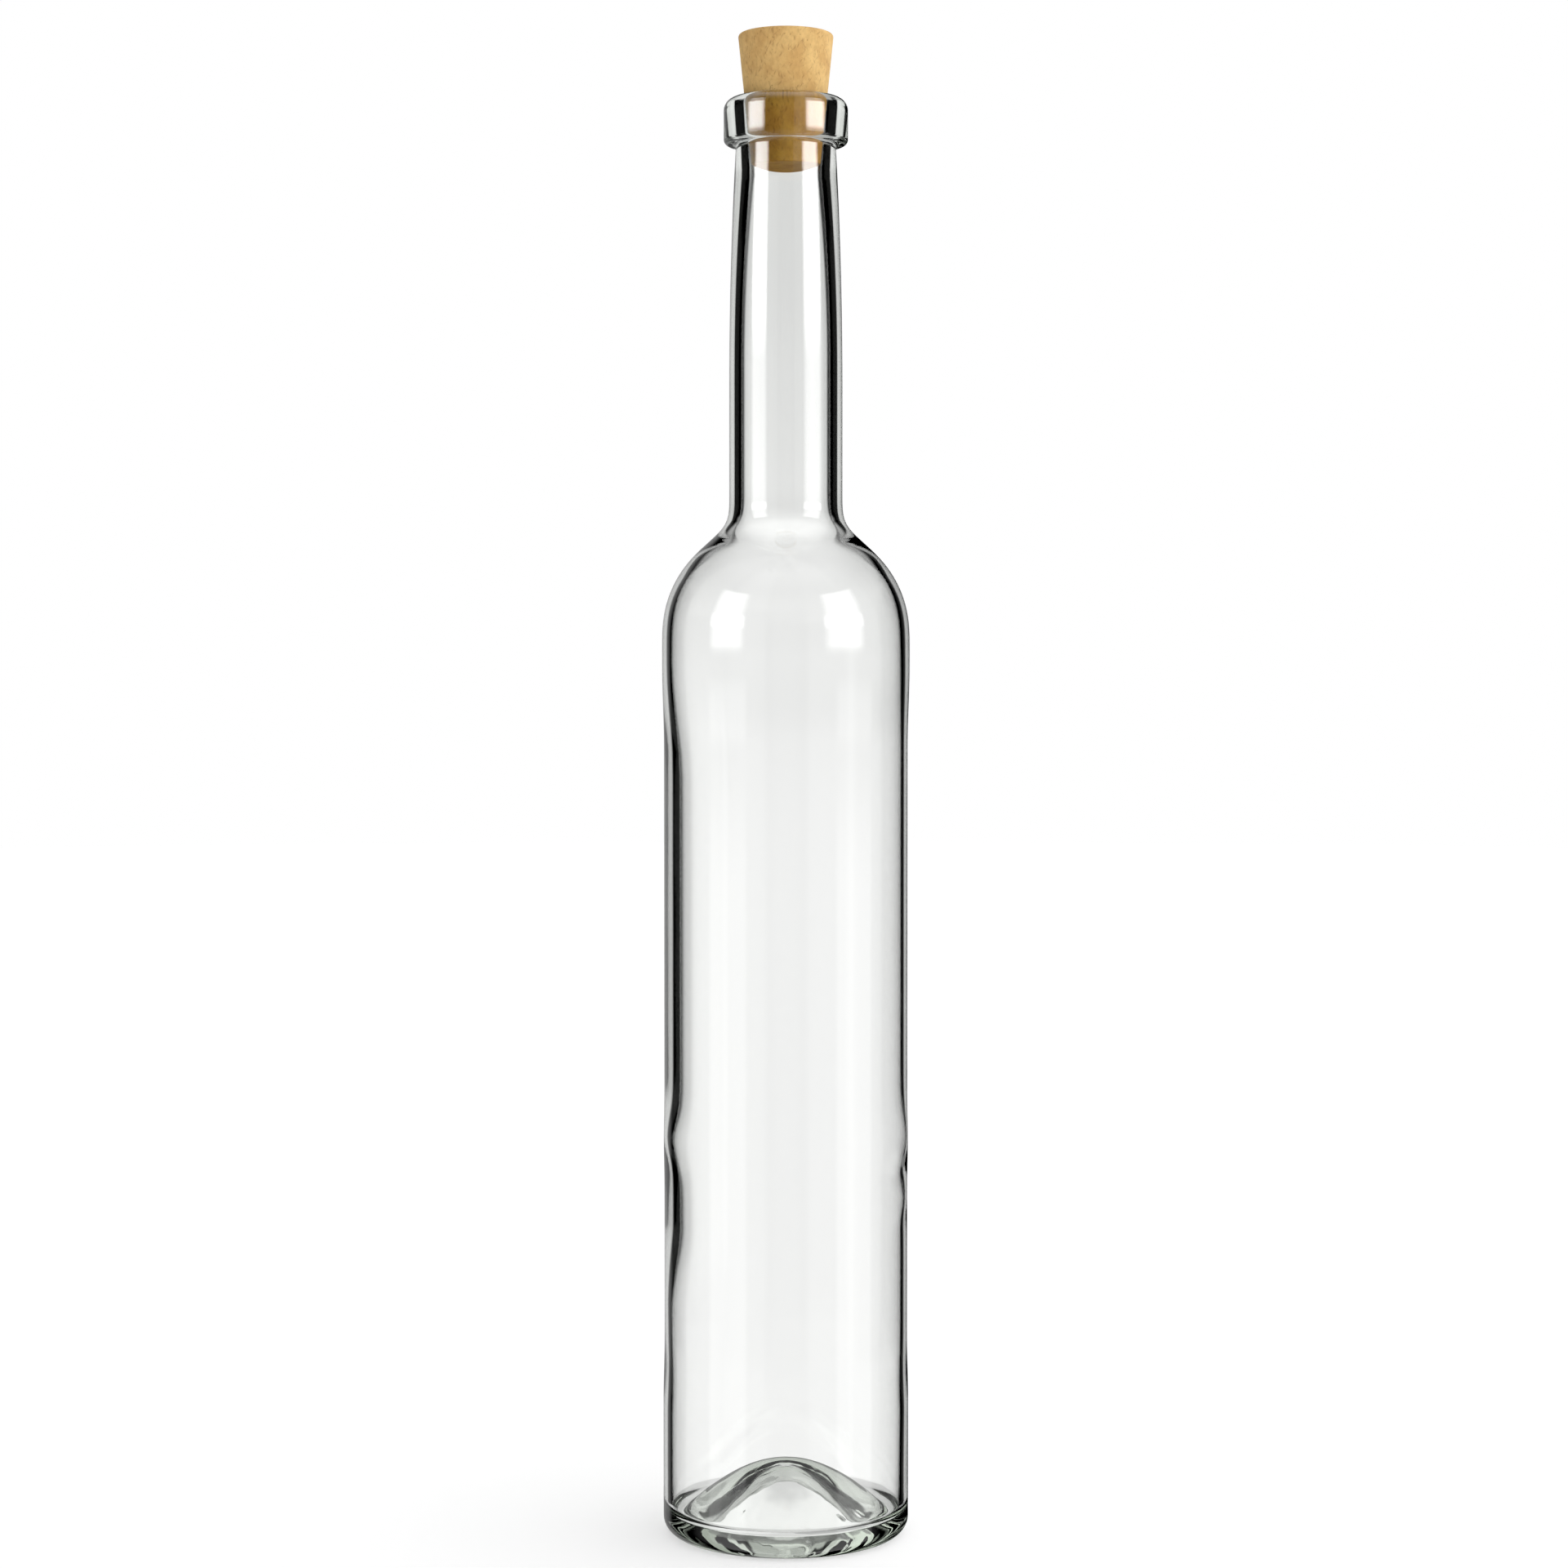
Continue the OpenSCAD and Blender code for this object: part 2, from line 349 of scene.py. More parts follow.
def add_piece(name, vertices, loops, starts, material, node=None, body=None, marks=None):
    """Puts a finished surface into a new object, shades it smooth and gives it its body and finish.

    Every vertex may have a number, its mark, which the material reads as the attribute "marks". A piece
    without a node belongs to the studio.
    """
    mesh = bpy.data.meshes.new(name)
    mesh.vertices.add(len(vertices))
    mesh.vertices.foreach_set("co", np.asarray(vertices, dtype=np.float32).ravel())
    mesh.loops.add(len(loops))
    mesh.loops.foreach_set("vertex_index", np.asarray(loops, dtype=np.int32))
    mesh.polygons.add(len(starts))
    mesh.polygons.foreach_set("loop_start", np.asarray(starts, dtype=np.int32))
    mesh.update(calc_edges=True)
    if mesh.validate():
        raise RuntimeError(name + " has faces that Blender had to mend")
    mesh.shade_smooth()
    if marks is not None:
        kept = mesh.attributes.new("marks", "FLOAT", "POINT")
        kept.data.foreach_set("value", np.asarray(marks, dtype=np.float32))
    mesh.materials.append(material)
    piece = bpy.data.objects.new(name, mesh)
    bpy.context.scene.collection.objects.link(piece)
    if node:
        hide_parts(node)
        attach(piece, body)
    return piece


def turned_grid(outline, around):
    """Angles, radii and heights of the outline turned about Z: a row for each of its points."""
    a = np.linspace(0, 2 * math.pi, around, endpoint=False)[None, :]
    return a, outline[:, :1] + 0 * a, outline[:, 1:] + 0 * a


def turned_surface(around, rings):
    """Faces of a closed turned surface: a fan at each pole and four-sided faces between the rings.

    Vertex 0 is the first pole, then come the rings, each of `around` vertices, and the last pole.
    """
    i = np.arange(around)
    after = (i + 1) % around
    first = np.column_stack([np.zeros_like(i), 1 + after, 1 + i])
    low = 1 + np.arange(rings - 1)[:, None] * around
    high = low + around
    quads = np.stack([low + i, low + after, high + after, high + i], axis=-1).reshape(-1, 4)
    top = 1 + (rings - 1) * around
    last = np.column_stack([np.full_like(i, top + around), top + i, top + after])
    loops = np.concatenate([first.ravel(), quads.ravel(), last.ravel()])
    sizes = np.concatenate([np.full(around, 3), np.full(len(quads), 4), np.full(around, 3)])
    starts = np.concatenate([[0], np.cumsum(sizes)[:-1]])
    return loops, starts


def turned_vertices(x, y, z):
    """Vertices for turned_surface from grids of a row for each outline point; the end rows are poles."""
    grid = np.stack([x, y, z], axis=-1)
    return np.vstack([grid[0].mean(axis=0), grid[1:-1].reshape(-1, 3), grid[-1].mean(axis=0)])


# Glass

AROUND_GLASS = 210
DOME_STEP = 0.7 * MM


def glass_outline(s):
    """Outline of the bottle, and the index at which its inside begins, from the sizes in s."""
    slope_l = s.shoulder_slope_l
    bearing_r = s.heel_r - s.heel_round
    punt_r = bearing_r - s.bearing_w
    panel_r = s.body_r - s.panel_step
    inner_r = s.body_r - s.wall
    bore_r = s.neck_r - s.neck_wall
    panel_z = s.heel_band_z + s.lower_blend_h
    panel_top_z = panel_z + s.panel_h
    band_z = panel_top_z + s.upper_blend_h
    shoulder_z = band_z + s.shoulder_band_h
    rounds = s.shoulder_round + s.neck_root_round
    neck_z = shoulder_z + shoulder_rise(s.body_r - s.neck_r, rounds, slope_l)
    taper_z = neck_z + s.neck_straight_h
    lip_z = TOP_Z - s.lip_h
    inner_z = s.inner_shoulder_z
    low_round = s.inner_shoulder_round
    root_round = s.inner_root_round
    inner_slope_l = s.inner_slope_l
    inner_neck_z = inner_z + shoulder_rise(inner_r - bore_r, low_round + root_round, inner_slope_l)
    stopper = bpy.context.scene.bottle_stopper
    foot_r = stopper.top_r - (stopper.top_z - stopper.foot_z) * math.tan(stopper.taper)
    throat_r = foot_r + s.throat_gap
    throat_z = stopper.foot_z - s.throat_below
    neck_top_r = throat_r + s.throat_wall
    floor_r = inner_r - s.floor_round
    dome_h = s.punt_h + s.punt_glass - s.floor_glass
    fillet = s.lip_fillet
    outer_shoulder = [
        plain_part(s.body_r, band_z, s.body_r, shoulder_z),
        shoulder_part(
            s.body_r, s.neck_r, shoulder_z, neck_z, s.shoulder_round, s.neck_root_round, slope_l
        ),
        plain_part(s.neck_r, neck_z, s.neck_r, taper_z),
    ]
    inner_shoulder = [
        plain_part(bore_r, throat_z - s.throat_blend_h, bore_r, inner_neck_z),
        shoulder_part(inner_r, bore_r, inner_z, inner_neck_z, low_round, root_round, inner_slope_l)[::-1],
        plain_part(inner_r, inner_z, inner_r, band_z),
    ]
    outside = [
        dome_part(punt_r, 0, s.punt_h, s.punt_power, DOME_STEP),
        plain_part(punt_r, 0, bearing_r, 0),
        round_part(bearing_r, s.heel_round, s.heel_round, 270, 360),
        upright_part(s.heel_r, s.heel_round, s.heel_band_z),
        step_part(s.heel_r, panel_r, s.heel_band_z, panel_z),
        upright_part(panel_r, panel_z, panel_top_z),
        step_part(panel_r, s.body_r, panel_top_z, band_z),
        softened(joined(outer_shoulder), s.outer_soft),
        draw_in_part(s.neck_r, neck_top_r, taper_z, lip_z - fillet),
        round_part(neck_top_r + fillet, lip_z - fillet, fillet, 180, 90),
        round_part(s.lip_r - s.lip_foot_round, lip_z + s.lip_foot_round, s.lip_foot_round, 270, 360),
        plain_part(s.lip_r, lip_z + s.lip_foot_round, s.lip_r, TOP_Z - s.lip_top_round),
        round_part(s.lip_r - s.lip_top_round, TOP_Z - s.lip_top_round, s.lip_top_round, 0, 90),
    ]
    inside = [
        round_part(s.mouth_r + s.mouth_round, TOP_Z - s.mouth_round, s.mouth_round, 90, 180),
        plain_part(s.mouth_r, TOP_Z - s.mouth_round, throat_r, throat_z),
        draw_in_part(bore_r, throat_r, throat_z - s.throat_blend_h, throat_z)[::-1],
        softened(joined(inner_shoulder), s.inner_soft),
        upright_part(inner_r, band_z, s.floor_glass + s.floor_round),
        round_part(floor_r, s.floor_glass + s.floor_round, s.floor_round, 360, 270),
        dome_part(floor_r, s.floor_glass, dome_h, s.floor_power, DOME_STEP)[::-1],
    ]
    outer = joined(outside)
    return joined(outside + inside), len(outer)


# Places of the small dents in the punt, across and along, and half the width of each
DENTS = np.array([(-7.9, -10), (-5.4, -11.2), (4.2, -14), (10.3, -10), (13.7, -5.5)]) * MM
DENT_HALF_W = 0.6 * MM

# Heights between which the body's uneven walls and its heavy side begin, are full, fade and end
BODY_LIMITS = (8 * MM, 30 * MM, 185 * MM, 205 * MM)
HEAVY_LIMITS = (48 * MM, 68 * MM, 166 * MM, 190 * MM)

# Two small waves under the settle wave, on the right: how far below it, and how much thinner the wall is
SMALL_WAVES = ((13 * MM, 0.25 * MM), (7 * MM, -0.15 * MM))
SMALL_WAVE_HALF_H = 4 * MM

# Heights between which the ripples of the base end, radii between which those of the heel begin, and the
# width over which they fade out beside the ring that the bottle stands on
BASE_TOP = (14 * MM, 24 * MM)
HEEL_EDGE = (24 * MM, 26 * MM)
BASE_FADE = 2 * MM

# How the ripples are made: their seeds, how they are squeezed or drawn out in the heel, how many waves
# they have and between which lengths in millimetres
BASE_SEED = 3
HEEL_SEED = 5
HEEL_STRETCH = (0.3, 0.3, 1.2)
RIPPLE_COUNT = 22
RIPPLE_LENGTHS = (1.5, 6)


def ripples(x, y, z, seed):
    """Uneven waves, about -1 to 1: the sum of plane cosine waves in seeded directions and lengths."""
    chance = np.random.default_rng(seed)
    ways = chance.normal(size=(RIPPLE_COUNT, 3))
    ways = ways / np.linalg.norm(ways, axis=1)[:, None]
    lengths = chance.uniform(*RIPPLE_LENGTHS, RIPPLE_COUNT) * MM
    phases = chance.uniform(0, 2 * math.pi, RIPPLE_COUNT)
    total = 0
    for way, wave, phase in zip(ways, lengths, phases):
        total = total + np.cos(2 * math.pi * (x * way[0] + y * way[1] + z * way[2]) / wave + phase)
    return total / math.sqrt(2 * RIPPLE_COUNT)


def wall_waves(z, a, inside, blown):
    """How far the walls of the body lie outside their outline, at each height and angle.

    Left and right are the square of the cosine of the angle, each on its own side. The inside is drawn in
    on the left over the panel and lies a little further out on the right. The settle wave is a bell curve
    of the height, on both sides: there the inside lies further out, and the outside swells a little. The
    two small waves are bell curves on the right.
    """
    right = np.clip(np.cos(a), 0, 1) ** 2
    left = np.clip(-np.cos(a), 0, 1) ** 2
    settle = bump(z, blown.settle_z, blown.settle_h) * (right + left) ** 3
    inner = blown.thin_side * right - blown.heavy_side * plateau(z, HEAVY_LIMITS) * left
    inner = inner + blown.settle_in * settle
    for below, depth in SMALL_WAVES:
        inner = inner + depth * bump(z, blown.settle_z - below, SMALL_WAVE_HALF_H) * right ** 3
    return plateau(z, BODY_LIMITS) * np.where(inside, inner, blown.settle_out * settle)


def glass_surface(s, blown):
    """The bottle's surface: its outline turned about Z, with the small waves of blown glass.

    A point at angle a and height z lies at the outline's radius plus the walls' waves. The floor and the
    punt are rippled up and down, the punt also has its dents, and the heel is rippled inwards.
    """
    outline, inside_from = glass_outline(s)
    a, r, z = turned_grid(outline, AROUND_GLASS)
    inside = (np.arange(len(outline)) >= inside_from)[:, None]
    r = r + wall_waves(z, a, inside, blown)
    x = r * np.cos(a)
    y = r * np.sin(a)
    low = 1 - smooth_step(z, *BASE_TOP)
    # The bearing ring stays flat, so the punt's ripples grow inwards from the ring's inner edge
    in_punt = np.clip((s.heel_r - s.heel_round - s.bearing_w - r) / BASE_FADE, 0, 1)
    dome = low * np.where(inside, 1, in_punt)
    dents = sum(bump(np.hypot(x - at_x, y - at_y), 0, DENT_HALF_W) for at_x, at_y in DENTS)
    z = z + dome * (blown.base_wave * ripples(x, y, z, BASE_SEED) + blown.dent * dents * ~inside)
    heel = low * np.where(inside, 0, smooth_step(z, 0, BASE_FADE)) * smooth_step(r, *HEEL_EDGE)
    stretch_x, stretch_y, stretch_z = HEEL_STRETCH
    wave = ripples(x * stretch_x, y * stretch_y, z * stretch_z, HEEL_SEED)
    r = r - heel * blown.heel_wave * (1 + wave)
    return turned_vertices(r * np.cos(a), r * np.sin(a), z), len(outline)


# Shaders

# How strongly common bottle glass bends light
GLASS_IOR = 1.52


class Wire:
    """A node's output that stands in arithmetic: each operation adds one Math node."""

    def __init__(self, tree, socket):
        self.tree = tree
        self.socket = socket

    def math(self, operation, *values):
        """The Math node that works out the operation on the given values, in their order."""
        made = self.tree.node("ShaderNodeMath", {"operation": operation}, dict(enumerate(values)))
        return made.out()

    def __add__(self, other):
        return self.math("ADD", self, other)

    def __radd__(self, other):
        return self.math("ADD", other, self)

    def __sub__(self, other):
        return self.math("SUBTRACT", self, other)

    def __rsub__(self, other):
        return self.math("SUBTRACT", other, self)

    def __mul__(self, other):
        return self.math("MULTIPLY", self, other)

    def __rmul__(self, other):
        return self.math("MULTIPLY", other, self)

    def __truediv__(self, other):
        return self.math("DIVIDE", self, other)

    def __pow__(self, other):
        return self.math("POWER", self, other)

    def least(self, other):
        """The smaller of two values."""
        return self.math("MINIMUM", self, other)

    def most(self, other):
        """The larger of two values."""
        return self.math("MAXIMUM", self, other)

    def rise(self, low, high):
        """0 at low and 1 at high, with a smooth curve between them; low may lie above high."""
        settings = {"interpolation_type": "SMOOTHSTEP", "clamp": True}
        values = {"Value": self, "From Min": low, "From Max": high, "To Min": 0.0, "To Max": 1.0}
        return self.tree.node("ShaderNodeMapRange", settings, values).out()


class Made:
    """A node that was added."""

    def __init__(self, tree, node):
        self.tree = tree
        self.node = node

    def out(self, name=0):
        """One of the node's outputs, by name or number."""
        return Wire(self.tree, self.node.outputs[name])


class NodeTree:
    """The nodes of one material or of the world."""

    def __init__(self, tree):
        self.tree = tree
        tree.nodes.clear()

    def node(self, kind, settings=None, values=None):
        """Adds a node of a type, makes its settings, and then fills or links its sockets."""
        node = self.tree.nodes.new(kind)
        for name, value in (settings or {}).items():
            setattr(node, name, value)
        for name, value in (values or {}).items():
            if isinstance(value, Wire):
                self.tree.links.new(value.socket, node.inputs[name])
            else:
                node.inputs[name].default_value = value
        return Made(self, node)

    def mix(self, share, first, second, blend="MIX"):
        """Colour between the first, at share 0, and the second, at share 1; MULTIPLY tints the first."""
        settings = {"data_type": "RGBA", "blend_type": blend}
        return self.node("ShaderNodeMix", settings, {0: share, 6: first, 7: second}).out(2)

    def noise(self, place, scale, detail):
        """Soft uneven pattern from 0 to 1, with about as many patches in a metre as its scale says."""
        values = {"Vector": place, "Scale": scale, "Detail": detail}
        return self.node("ShaderNodeTexNoise", {}, values).out()

    def drawn_out(self, place, height_share):
        """The place with its height scaled, which draws patterns out upright."""
        values = {"Vector": place, "Scale": (1.0, 1.0, height_share)}
        return self.node("ShaderNodeMapping", {}, values).out()

    def relief(self, height, strength, distance):
        """Surface direction as if the height stood out by up to the distance."""
        values = {"Strength": strength, "Distance": distance, "Height": height}
        return self.node("ShaderNodeBump", {}, values).out()


def opaque(tint):
    """A colour with its fourth number, as sockets take it."""
    return (*tint, 1.0)


def glass_material(finish):
    """Clear blown glass: faint ripples in the surface, and a green tint that deepens with thickness."""
    material = bpy.data.materials.new("glass")
    material.use_nodes = True
    tree = NodeTree(material.node_tree)
    place = tree.node("ShaderNodeTexCoord").out("Object")
    ripple = tree.noise(tree.drawn_out(place, 0.35), 90.0, 1.0)
    values = {
        "Base Color": (1, 1, 1, 1),
        "Roughness": 0.0,
        "IOR": GLASS_IOR,
        "Transmission Weight": 1.0,
        "Normal": tree.relief(ripple, 0.03, 0.2 * MM),
    }
    shader = tree.node("ShaderNodeBsdfPrincipled", {}, values).out()
    depth = {"Color": opaque(finish.glass_tint), "Density": finish.glass_density}
    inside = tree.node("ShaderNodeVolumeAbsorption", {}, depth).out()
    tree.node("ShaderNodeOutputMaterial", {}, {"Surface": shader, "Volume": inside})
    return material


def cork_material(finish):
    """Natural cork: soft patches and fine upright grain, dark where the surface is marked.

    Below the mouth the colour is painted deeper and more golden, a painted shade for the dimmer light
    inside the glass neck. The foot is painted a little darker, a painted shade under the cork.
    """
    material = bpy.data.materials.new("cork")
    material.use_nodes = True
    tree = NodeTree(material.node_tree)
    place = tree.node("ShaderNodeTexCoord").out("Object")
    height = tree.node("ShaderNodeSeparateXYZ", {}, {"Vector": place}).out("Z")
    upright = tree.drawn_out(place, 0.65)
    patches = tree.noise(place, 220.0, 4.0).rise(0.32, 0.68)
    grain = tree.noise(upright, 1500.0, 4.0)
    specks = tree.noise(upright, 2600.0, 2.0).rise(0.66, 0.74)
    marks = tree.node("ShaderNodeAttribute", {"attribute_name": "marks"}).out("Fac")
    dark = opaque(finish.cork_dark)
    tint = tree.mix(patches, opaque(finish.cork), opaque(finish.cork_pale))
    tint = tree.mix(grain.rise(0.35, 0.7) * 0.16, tint, dark)
    tint = tree.mix(specks * 0.5, tint, dark)
    tint = tree.mix(marks * 0.85, tint, dark)
    # Painted shade below the mouth: the cork inside the glass neck is tinted deeper, as if less light
    # reached it
    in_neck = 1 - height.rise(TOP_Z - 1.0 * MM, TOP_Z + 0.3 * MM)
    tint = tree.mix(in_neck, tint, opaque(finish.cork_neck_shade), "MULTIPLY")
    # Painted shade under the cork: the foot is tinted a little darker
    foot_shade_share = 1 - height.rise(STOPPER_FOOT_Z + 0.1 * MM, STOPPER_FOOT_Z + 0.5 * MM)
    tint = tree.mix(foot_shade_share, tint, opaque(finish.cork_foot_shade), "MULTIPLY")
    relief = tree.relief(grain - specks, 0.4, 0.1 * MM)
    values = {"Base Color": tint, "Roughness": 0.85, "Normal": relief}
    shader = tree.node("ShaderNodeBsdfPrincipled", {}, values).out()
    tree.node("ShaderNodeOutputMaterial", {}, {"Surface": shader})
    return material


# Cork

AROUND_CORK = 420
CORK_STEP = 0.2 * MM
FOOT_POINTS = 16
LID_POINTS = 40

# Radius at which a mark's width is measured, and length over which its wave turns by one radian
MARK_R = 9 * MM
MARK_WAVE = 0.22 * MM
MARK_SEED = 11


def cork_outline(s):
    """Outline of the stopper: from the middle of its foot, up its side, to the middle of its top.

    Each edge is a round. Its centre lies in from the sharp corner by the round's radius over the tangent
    of half the corner's angle, so it meets the side and the end smoothly.
    """
    lean = math.degrees(s.taper)
    foot_r = s.top_r - (s.top_z - s.foot_z) * math.tan(s.taper)
    foot_centre = foot_r - s.foot_round / math.tan(math.radians((90 + lean) / 2))
    top_centre = s.top_r - s.top_round / math.tan(math.radians((90 - lean) / 2))
    foot = round_part(foot_centre, s.foot_z + s.foot_round, s.foot_round, 270, 360 - lean)
    top = round_part(top_centre, s.top_z - s.top_round, s.top_round, -lean, 90)
    side_t = np.linspace(0, 1, math.ceil((s.top_z - s.foot_z) / CORK_STEP))[1:-1, None]
    side = foot[-1] + (top[0] - foot[-1]) * side_t
    foot_t = np.linspace(0, 1, FOOT_POINTS)[:-1, None]
    bottom = np.array([[0, s.foot_z]]) * (1 - foot_t) + foot[:1] * foot_t
    lid_t = np.linspace(0, 1, LID_POINTS)[1:, None]
    lid = top[-1:] * (1 - lid_t) + np.array([[0, s.top_z]]) * lid_t
    return np.vstack([bottom, foot, side, top, lid])


def cork_marks(around, along, count):
    """Marks of cork, 1 in the middle of each and 0 away from them, at each place on the surface.

    Each mark is a short, narrow, wavy groove that runs about along the outline. Its middle line is a
    slant plus a sine wave of the distance along it. Its sides and its ends fall off by bell curves.
    """
    chance = np.random.default_rng(MARK_SEED)
    marks = np.zeros(along.shape)
    whole = along.max()
    for _ in range(count):
        middle = chance.uniform(0, whole)
        side = chance.uniform(0, 2 * math.pi)
        half = chance.uniform(0.1, 0.6) * MM
        width = chance.uniform(0.05, 0.11) * MM
        slant = chance.uniform(-0.8, 0.8)
        wave = chance.uniform(0.04, 0.16) * MM
        phase = chance.uniform(0, 6)
        depth = chance.uniform(0.35, 1.0)
        rows = np.abs(along[:, 0] - middle) < 2 * half
        step = along[rows] - middle
        across = (around[rows] - side + math.pi) % (2 * math.pi) - math.pi
        centre = slant * step + wave * np.sin(step / MARK_WAVE + phase)
        shape = bump(across * MARK_R, centre, width) * bump(step, 0, half)
        marks[rows] = np.maximum(marks[rows], depth * shape)
    return marks


def cork_surface(s):
    """The stopper's surface: its outline turned about Z, with its marks pressed in.

    The marks press the radius in by their depth, less towards the axis and not at all in its inner half.
    """
    outline = cork_outline(s)
    a, r, z = turned_grid(outline, AROUND_CORK)
    marks = cork_marks(a + 0 * r, distances(outline)[:, None] + 0 * a, s.marks)
    r = r - s.mark_depth * marks * np.clip(r / s.top_r * 2 - 1, 0, 1)
    flat_marks = np.concatenate([[0], marks[1:-1].ravel(), [0]])
    return turned_vertices(r * np.cos(a), r * np.sin(a), z), len(outline), flat_marks


# Studio

# Headings and elevations are in degrees. Heading 0 is straight ahead (+Y) and 90 is to the right (+X).
LEFT_BOX = -123
RIGHT_BOX = 123
RIGHT_TABLE = 112


class Sky:
    """The direction of a ray into the world, and the masks that lit and dark parts are made of."""

    def __init__(self, tree):
        direction = tree.node("ShaderNodeTexCoord").out("Generated")
        parts = tree.node("ShaderNodeSeparateXYZ", {}, {"Vector": direction})
        self.across = parts.out("X")
        self.ahead = parts.out("Y")
        self.up = parts.out("Z")
        self.level = ((self.across * self.across + self.ahead * self.ahead) ** 0.5).most(0.0001)

    def near(self, heading, inner, outer):
        """1 within the inner angle of a heading and 0 beyond the outer one."""
        turn = math.radians(heading)
        closeness = (self.across * math.sin(turn) + self.ahead * math.cos(turn)) / self.level
        return closeness.rise(math.cos(math.radians(outer)), math.cos(math.radians(inner)))

    def above(self, low, high):
        """0 below the low elevation and 1 above the high one."""
        return self.up.rise(math.sin(math.radians(low)), math.sin(math.radians(high)))

    def sheet(self, heading):
        """A white sheet in one heading: full in its middle, and a little dimmer near its edges."""
        return 0.1 * self.near(heading, 13, 19) + 0.9 * self.near(heading, 21, 28)


def soft_light(sky):
    """What lights the floor and the cork: an even light, stronger from the right and from above."""
    return (0.92 + 0.95 * sky.across + 0.30 * sky.up).most(0.1)


def reflected_studio(sky):
    """What is reflected: two soft boxes behind the camera, a lit table, a faint sheet and a ceiling."""
    near = sky.near
    above = sky.above
    box_band = above(0.3, 1.1) * (1 - above(36, 39))
    boxes = near(LEFT_BOX, 9, 20).most(near(RIGHT_BOX, 11, 23)) * box_band
    box_glow = 5.0 + 11.4 * above(6, 9) * (1 - above(14, 18))
    table = (1 - above(-4, -0.5)) * (1 - near(0, 80, 95))
    table_glow = 0.3 + 1.2 * near(LEFT_BOX, 16, 22).most(near(RIGHT_TABLE, 16, 22))
    faint_sheet = 0.4 * near(-22, 12, 24) * (1 - above(20, 30))
    ceiling = 1.6 * above(40, 75)
    return boxes * box_glow + table * table_glow + faint_sheet + ceiling


def refracted_studio(sky):
    """What is seen through the glass: white sheets, a table and a ceiling, with dark gaps between them.

    The gaps give the glass its dark lines. Where lit parts overlap, the brightest one shows.
    """
    near = sky.near
    above = sky.above
    sheet_glow = (1.05 - 0.21 * above(-3, 9)) * (1 - 0.03 * near(0, 3, 8))
    # Straight ahead: the space under the table's edge, the table's top and the sheet behind it
    under = 0.75 * near(0, 20, 32)
    table_top = 0.35 * near(0, 36, 44) + 0.65 * near(0, 13, 20)
    narrow = above(13, 16) * (1 - near(0, 8, 16))
    upright = sky.sheet(0) * sheet_glow * (1 - narrow)
    ahead_part = under + above(-22, -19) * (table_top - under)
    ahead_part = ahead_part + above(-18.5, -16.5) * (upright - ahead_part)
    # Round about: sheets on the left and behind on the right, and a low one ahead on the left
    round_about = sky.sheet(-90).most(sky.sheet(135)) * sheet_glow
    low_sheet = 0.9 * sky.sheet(-45) * (1 - above(-17.5, -15))
    # Grey above and below, and faintly between the sheets
    wide = (1 - near(0, 40, 54)) * (0.45 * (1 - above(-14, -11)) + 0.5 * above(17, 24))
    wide = wide.most(0.5 * above(22, 30)).most(0.5 * (1 - above(-30, -22)))
    beyond = 0.15 * (1 - near(0, 66, 84).most(near(-90, 66, 84)))
    return ahead_part.most(round_about).most(low_sheet).most(wide).most(beyond)


# A look straight through both walls ends at a ray depth of 4. At a depth of 6 the ray was also turned
# back twice inside the glass, and it keeps only a share of what it sees.
TURNED_BACK_DEPTH = 6
TURNED_BACK_LOSS = 0.8


def studio_world():
    """Plain soft light; white behind the object, and the lit and dark parts of a studio for the glass."""
    world = bpy.data.worlds.new("soft_studio")
    world.use_nodes = True
    tree = NodeTree(world.node_tree)
    sky = Sky(tree)
    light = soft_light(sky)
    ray = tree.node("ShaderNodeLightPath")
    from_glass = ray.out("Is Transmission Ray")
    from_gloss = ray.out("Is Glossy Ray") * (1 - from_glass)
    depth = ray.out("Ray Depth")
    kept = 1 - TURNED_BACK_LOSS * depth.math("COMPARE", depth, TURNED_BACK_DEPTH, 0.4)
    strength = light + from_gloss * (reflected_studio(sky) - light)
    strength = strength + from_glass * (refracted_studio(sky) * kept - strength)
    # The light that falls on the cork and the floor is the plain one, and the camera sees plain white
    strength = strength + ray.out("Diffuse Depth").least(1.0) * (light - strength)
    strength = strength + ray.out("Is Camera Ray") * (1 - strength)
    glow = tree.node("ShaderNodeBackground", {}, {"Color": (1, 1, 1, 1), "Strength": strength}).out()
    tree.node("ShaderNodeOutputWorld", {}, {"Surface": glow})
    bpy.context.scene.world = world


def floor_material():
    """Pale floor that takes the shadow and lets what glass shows of it come from the studio beyond."""
    material = bpy.data.materials.new("pale_floor")
    material.use_nodes = True
    tree = NodeTree(material.node_tree)
    ray = tree.node("ShaderNodeLightPath")
    through = ray.out("Is Transmission Ray").most(ray.out("Is Glossy Ray"))
    matt = tree.node("ShaderNodeBsdfDiffuse", {}, {"Color": (1.0, 1.0, 1.0, 1)}).out()
    white = tree.node("ShaderNodeEmission", {}, {"Color": (1.0, 1.0, 1.0, 1), "Strength": 1.0}).out()
    white_share = 0.5 * ray.out("Is Camera Ray")
    pale = tree.node("ShaderNodeMixShader", {}, {0: white_share, 1: matt, 2: white}).out()
    clear = tree.node("ShaderNodeBsdfTransparent").out()
    shader = tree.node("ShaderNodeMixShader", {}, {0: through, 1: pale, 2: clear}).out()
    tree.node("ShaderNodeOutputMaterial", {}, {"Surface": shader})
    return material


def studio_floor(radius):
    """A flat disc, a tenth of a millimetre under the object."""
    around = 96
    a = np.linspace(0, 2 * math.pi, around, endpoint=False)
    vertices = np.column_stack([radius * np.cos(a), radius * np.sin(a), 0 * a - 0.1 * MM])
    floor = add_piece("floor", vertices, np.arange(around), [0], floor_material())


